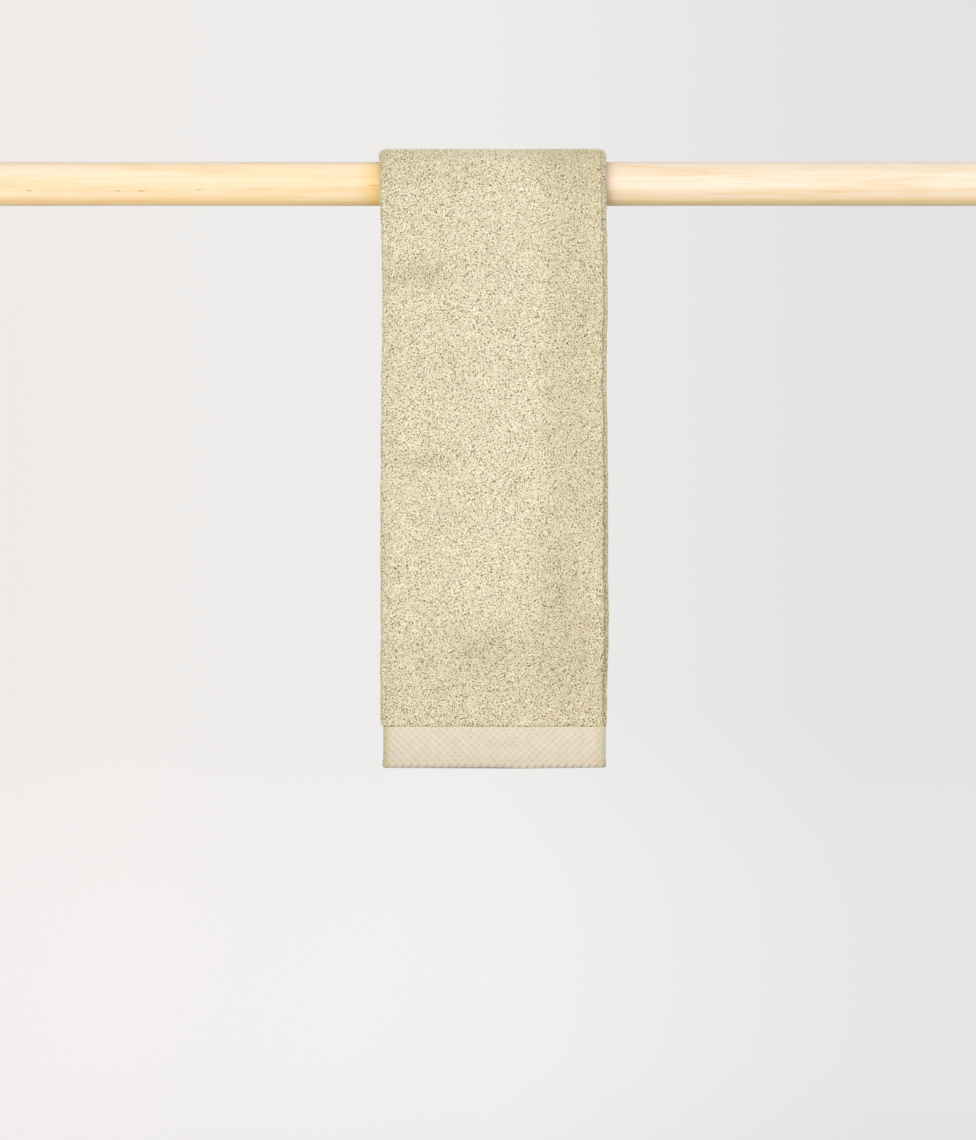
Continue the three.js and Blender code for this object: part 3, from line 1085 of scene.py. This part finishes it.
def pine_material():
    """Planed pine under a clear satin coat, its grain along the rod, with painted light and shade
    round it and painted shadow beside the towel
    """
    material, tree = new_material(
        "planed pine", Roughness=0.5, Coat_Weight=0.2, Coat_Roughness=0.4,
    )
    place = object_place(tree)

    def grain(along, across):
        return noise(mapped(place, Scale=(along, across, across)), 1, 3)

    def measured(operation, *vectors):
        return Node("ShaderNodeVectorMath", *vectors, operation=operation)

    fine = grain(20, 420)
    wood = screen_ramp(
        grain(4, 100) * 0.6 + fine * 0.4,
        (0.33, 244, 206, 163), (0.47, 248, 220, 190), (0.62, 251, 229, 208),
    )
    for mark in PINE_MARKS:
        middle = (ROD_LOW.x + mark["along"] * MM, 0, mark["up"] * MM)
        reach = (1 / (mark["length"] * MM), 0, 1 / (mark["height"] * MM))
        away = measured("MULTIPLY", measured("SUBTRACT", place, middle)[0], reach)[0]
        share = ranged(measured("LENGTH", away)["Value"], 1, 0.2) * mark["shade"]
        wood = mix_colour(share, wood, from_srgb(176, 118, 48))

    split = Node("ShaderNodeSeparateXYZ", place)
    height = ranged(split["Z"], -ROD_RADIUS, ROD_RADIUS)
    length = ranged(split["X"], ROD_LOW.x, ROD_HIGH.x)
    # Painted light and shade round the rod's height: a paler lit front, a greyer top rim and an
    # amber, darker underside, a little different at each end
    left_rod_light_and_shade = ramp(
        height,
        (0.02, 0.86, 0.82, 0.62), (0.08, 1, 0.93, 0.56), (0.12, 1, 0.98, 0.74),
        (0.16, 1, 0.97, 0.82), (0.28, 0.95, 0.96, 0.82), (0.38, 0.95, 0.91, 0.79),
        (0.58, 0.95, 0.89, 0.77), (0.72, 0.95, 0.98, 0.94), (0.9, 0.93, 0.96, 0.89),
        (0.945, 0.74, 0.82, 0.92), (1.0, 0.82, 0.88, 1),
    )
    right_rod_light_and_shade = ramp(
        height,
        (0.02, 0.74, 0.75, 0.55), (0.08, 0.87, 0.82, 0.5), (0.12, 0.95, 0.9, 0.67),
        (0.16, 0.94, 0.92, 0.79), (0.28, 0.91, 0.93, 0.82), (0.38, 0.95, 0.99, 0.99),
        (0.58, 0.95, 0.98, 1), (0.72, 0.92, 0.97, 0.95), (0.9, 0.91, 0.96, 0.93),
        (0.945, 0.77, 0.81, 0.86), (1.0, 0.86, 0.88, 0.92),
    )
    rod_light_and_shade = mix_colour(ranged(length, 0.4, 0.6), left_rod_light_and_shade, right_rod_light_and_shade)
    left_side = (TOWEL_LEFT - ROD_LOW.x) / (ROD_HIGH.x - ROD_LOW.x)
    right_side = 1 - left_side
    # Painted shadow on the rod beside the towel, amber on its left and pinkish grey on its right,
    # with a slight tint along the rod
    shadow_beside_towel = ramp(
        length, (0.05, 1, 0.985, 0.96), (left_side - 0.022, 1, 0.975, 0.9),
        (left_side - 0.002, 0.97, 0.85, 0.5), (left_side + 0.02, 0.95, 0.86, 0.6),
        (left_side + 0.16, 0.97, 0.97, 0.98), (right_side, 0.8, 0.76, 0.82),
        (right_side + 0.008, 0.97, 0.97, 0.98), (0.9, 0.96, 0.975, 1),
    )
    wood = tinted(wood, rod_light_and_shade, shadow_beside_towel)

    # Growth rings on the sawn ends
    around = mapped(place, Location=AXIS_FROM_PITH, Scale=(0.0, 1.0, 1.0))
    radius = measured("LENGTH", around)["Value"] + noise(around, 60) * RING_WAVES
    ring = calculate("SINE", radius * (2 * math.pi / RING_WIDTH))
    sawn = screen_ramp(
        ranged(ring, -1, 1),
        (0.0, 238, 200, 148), (0.7, 226, 182, 124), (1.0, 182, 124, 66),
    )
    from_end = calculate("MINIMUM", length, 1.0 - length)
    wood = mix_colour(ranged(from_end, *SAWN_SHARES), wood, sawn)
    return dressed(material, wood, fine, 0.15, 0.1 * MM)


def make_cloth(grid):
    """The towel's whole cloth as one closed sheet"""
    mesh = cloth_mesh(grid)
    shade_smooth(mesh)
    mesh.materials.append(ground_material())
    mesh.materials.append(border_material())
    count = grid["x"].shape[1]
    border_row = np.array([
        "height" in station and station["height"] < BORDER_HEIGHT - 0.01 * MM
        for station in grid["stations"]
    ])
    in_border = np.repeat(border_row[:-1] & border_row[1:], count)
    kinds = np.ones(len(mesh.polygons), int)
    kinds[: len(in_border)] = in_border
    mesh.polygons.foreach_set("material_index", kinds)
    mesh.update()
    return new_object("towel_cloth", mesh)


def patch_mesh(grid, along, rows, columns):
    """The ground under some of the loops, between two rows and on some columns of the cloth's
    grid. Along is which way the cloth's length runs at each of the grid's points."""
    count = grid["x"].shape[1]
    pile = grid["pile"] > 0.5
    faces = []
    for row in range(rows.start, rows.stop - 1):
        for i in columns:
            j = (i + 1) % count
            if pile[row : row + 2, (i, j)].all():
                below, above = row * count, (row + 1) * count
                faces.append((below + i, above + i, above + j, below + j))
    used, renamed = np.unique(np.array(faces), return_inverse=True)
    mesh = bpy.data.meshes.new("pile_ground")
    mesh.from_pydata(grid["place"].reshape(-1, 3)[used].tolist(), [], renamed.reshape(-1, 4).tolist())

    def here(name):
        return grid[name].ravel()[used]

    # Loops lie along the cloth at its free edge and on both sides of the side hem's groove. They
    # are left out in the groove and, unevenly, just above the border.
    from_edge, on_outer, length = here("from_edge"), here("on_outer"), here("length")
    at_rim = 1 - smoothstep(np.abs(from_edge), *RIM)
    at_hem = 1 - smoothstep(np.abs(from_edge - SIDE_HEM), *BESIDE_GROOVE)
    turn = 2 * np.pi * here("across")
    from_border = np.minimum(length, TOWEL_LENGTH - length) - BORDER_HEIGHT
    from_border += RAGGED_JOINT * np.sin(turn / RAGGED_WAVES[0]) * np.sin(turn / RAGGED_WAVES[1] + 1)
    groove = np.where(on_outer > 0.5, np.abs(from_edge - SIDE_HEM), 1)
    store_values(mesh, "edge", np.maximum(0.5 * at_rim, at_hem) * on_outer)
    store_values(mesh, "light_and_shade", here("light_and_shade"))
    store_values(mesh, "groove", np.minimum(groove, from_border - BARE_JOINT))
    store_values(mesh, "lengthwise", along.reshape(-1, 3)[used], "FLOAT_VECTOR", "vector")
    return mesh


def make_pile(name, ground, tree, yarn, seed, spacing):
    """The loops that stand on one patch of ground"""
    patch = new_object(name, ground)
    modifier = patch.modifiers.new("pile", "NODES")
    modifier.node_group = tree
    sizes = {
        "Spacing": spacing, "Loop Length": LOOP_LENGTH, "Loop Width": LOOP_WIDTH,
        "Loop Rise": LOOP_RISE, "Lean": LOOP_LEAN, "Hem Groove": SIDE_HEM_GROOVE / 2,
        "Seed": seed, "Yarn": yarn,
    }
    for item in tree.interface.items_tree:
        if item.in_out == "INPUT" and item.name in sizes:
            modifier[item.identifier] = sizes[item.name]
    bpy.context.view_layer.update()
    evaluated = patch.evaluated_get(bpy.context.evaluated_depsgraph_get())
    mesh = bpy.data.meshes.new_from_object(evaluated)
    mesh.name = name
    mesh.materials.clear()
    mesh.materials.append(yarn)
    mesh.polygons.foreach_set("material_index", np.zeros(len(mesh.polygons), int))
    patch.modifiers.remove(modifier)
    patch.data = mesh
    bpy.data.meshes.remove(ground)
    return patch


def make_piles(grid):
    """All the loops, in pieces of a size that stays easy to handle"""
    tree = pile_tree()
    yarn = yarn_material()
    along = np.gradient(grid["place"], axis=0)
    along /= np.linalg.norm(along, axis=2, keepdims=True)
    stations = grid["stations"]
    count = grid["x"].shape[1]
    wrap = [i for i, station in enumerate(stations) if station["panel"] == "wrap"]
    first, last, end = wrap[0], wrap[-1], len(stations)
    border_rows = sum("height" in station for station in stations[:first])
    front_half = (border_rows + first) // 2
    back_half = (last + end - border_rows) // 2

    # Columns of the grid: the outer layer with its free edge and fold, the fold beside that free
    # edge, and all that faces inwards
    outside = [*range(count - EDGE_STEPS, count), *range(LEFT_FOLD.stop + 3)]
    reverse_end = 2 * LINE_POINTS + EDGE_STEPS - 2
    strip = [reverse_end - i for i in range(RIGHT_FOLD.start - 3, RIGHT_FOLD.stop)]
    inside = [i for i in range(count) if i not in outside and i not in strip]
    stretches = [
        ("front_low", range(front_half + 1), outside, LOOP_SPACING),
        ("front_high", range(front_half, first + 1), outside, LOOP_SPACING),
        ("over_rod", range(first, last + 1), outside + inside, LOOP_SPACING),
        ("back_high", range(last, back_half + 1), outside, LOOP_SPACING),
        ("back_low", range(back_half, end), outside, LOOP_SPACING),
        ("fold_beside_edge", range(end), strip, STRIP_SPACING),
        ("inside_front", range(first + 1), inside, INSIDE_SPACING),
        ("inside_back", range(last, end), inside, INSIDE_SPACING),
    ]
    return [
        make_pile("pile_" + name, patch_mesh(grid, along, rows, columns), tree, yarn, seed, spacing)
        for seed, (name, rows, columns, spacing) in enumerate(stretches)
    ]


def paper_material():
    """Pale studio paper, with painted shade that darkens it a little towards the right and higher up
    """
    material, tree = new_material("studio paper", Roughness=1.0, Specular_IOR_Level=0.0)
    split = Node("ShaderNodeSeparateXYZ", object_place(tree))
    # Painted shade: the paper darkens towards the right and higher up
    paper = ramp(
        ranged(split["X"], *PAPER_SIDES),
        (0.0, 0.72, 0.7, 0.695), (0.5, 0.695, 0.69, 0.69), (1.0, 0.625, 0.625, 0.63),
    )
    upwards = ramp(
        ranged(split["Z"], *PAPER_HEIGHTS),
        (0.0, 1, 1, 1), (0.5, 0.96, 0.96, 0.955), (1.0, 0.91, 0.91, 0.9),
    )
    return dressed(material, tinted(paper, upwards, PAPER_GAIN))


def make_cove():
    """A pale round studio: a flat floor that bends up into a wall"""
    steps, sides = 16, 96
    profile = []
    for i in range(steps + 1):
        turn = math.pi / 2 * i / steps
        radius = COVE_FLOOR_RADIUS + COVE_BEND_RADIUS * math.sin(turn)
        profile.append((radius, COVE_BEND_RADIUS * (1 - math.cos(turn))))
    profile.append((radius, COVE_HEIGHT))
    vertices = []
    for radius, height in profile:
        for k in range(sides):
            turn = 2 * math.pi * k / sides
            around = (TOWEL_MIDDLE + radius * math.cos(turn), radius * math.sin(turn))
            vertices.append((*around, height - FLOOR_DROP))
    vertices.append((TOWEL_MIDDLE, 0, -FLOOR_DROP))
    faces = []
    for row in range(len(profile) - 1):
        for k in range(sides):
            a, b = row * sides + k, row * sides + (k + 1) % sides
            faces.append((a, a + sides, b + sides, b))
    faces += [(k, (k + 1) % sides, len(vertices) - 1) for k in range(sides)]
    mesh = bpy.data.meshes.new("studio_floor")
    mesh.from_pydata(vertices, [], faces)
    shade_smooth(mesh)
    mesh.materials.append(paper_material())
    cove = new_object("studio_floor", mesh)
    cove.visible_diffuse = False
    cove.visible_shadow = False


def add_soft_sun(name, brightness, azimuth, elevation, spread):
    """Even light from one side, in degrees from the front and above, as soft as a huge softbox"""
    light = bpy.data.lights.new(name, "SUN")
    light.energy = brightness * math.pi
    light.angle = math.radians(spread)
    sun = new_object(name, light)
    sun.rotation_euler = (math.radians(90 - elevation), 0, math.radians(azimuth))


def make_light():
    """Soft light from all round, a large softbox on the camera's side and a weaker one behind"""
    world = bpy.data.worlds.new("studio light")
    bpy.context.scene.world = world
    world.use_nodes = True
    background = world.node_tree.nodes["Background"]
    background.inputs["Color"].default_value = (1, 1, 1, 1)
    background.inputs["Strength"].default_value = WORLD_LIGHT
    add_soft_sun("key_light", KEY_LIGHT, -10, 6, 50)
    add_soft_sun("back_light", BACK_LIGHT, 160, 30, 60)


def make_camera():
    """A level camera, as far away and as long as the photograph's view needs"""
    data = bpy.data.cameras.new("camera")
    focal_px = (CAMERA_DISTANCE - TOWEL_FRONT) / TOWEL_FRONT_SCALE
    data.sensor_width = SENSOR
    data.lens = SENSOR * focal_px / PHOTO_HEIGHT_PX
    data.clip_end = 40
    camera = new_object("camera", data)
    below_rod = (PHOTO_HEIGHT_PX / 2 - ROD_AXIS_PX) / focal_px * CAMERA_DISTANCE
    aside = (TOWEL_MIDDLE_PX - PHOTO_WIDTH_PX / 2) * TOWEL_FRONT_SCALE
    camera.location = (TOWEL_MIDDLE - aside, -CAMERA_DISTANCE, -below_rod)
    camera.rotation_euler = (math.pi / 2, 0, 0)
    bpy.context.scene.camera = camera


make_camera()
make_light()
make_cove()
bpy.context.scene.view_settings.view_transform = "Standard"

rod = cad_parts["rod"]
rod.data.materials.clear()
rod.data.materials.append(pine_material())

grid = cloth_grid()
cloth = make_cloth(grid)
piles = make_piles(grid)
for piece in [cloth, *piles]:
    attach(piece, "root")
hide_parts("towel")
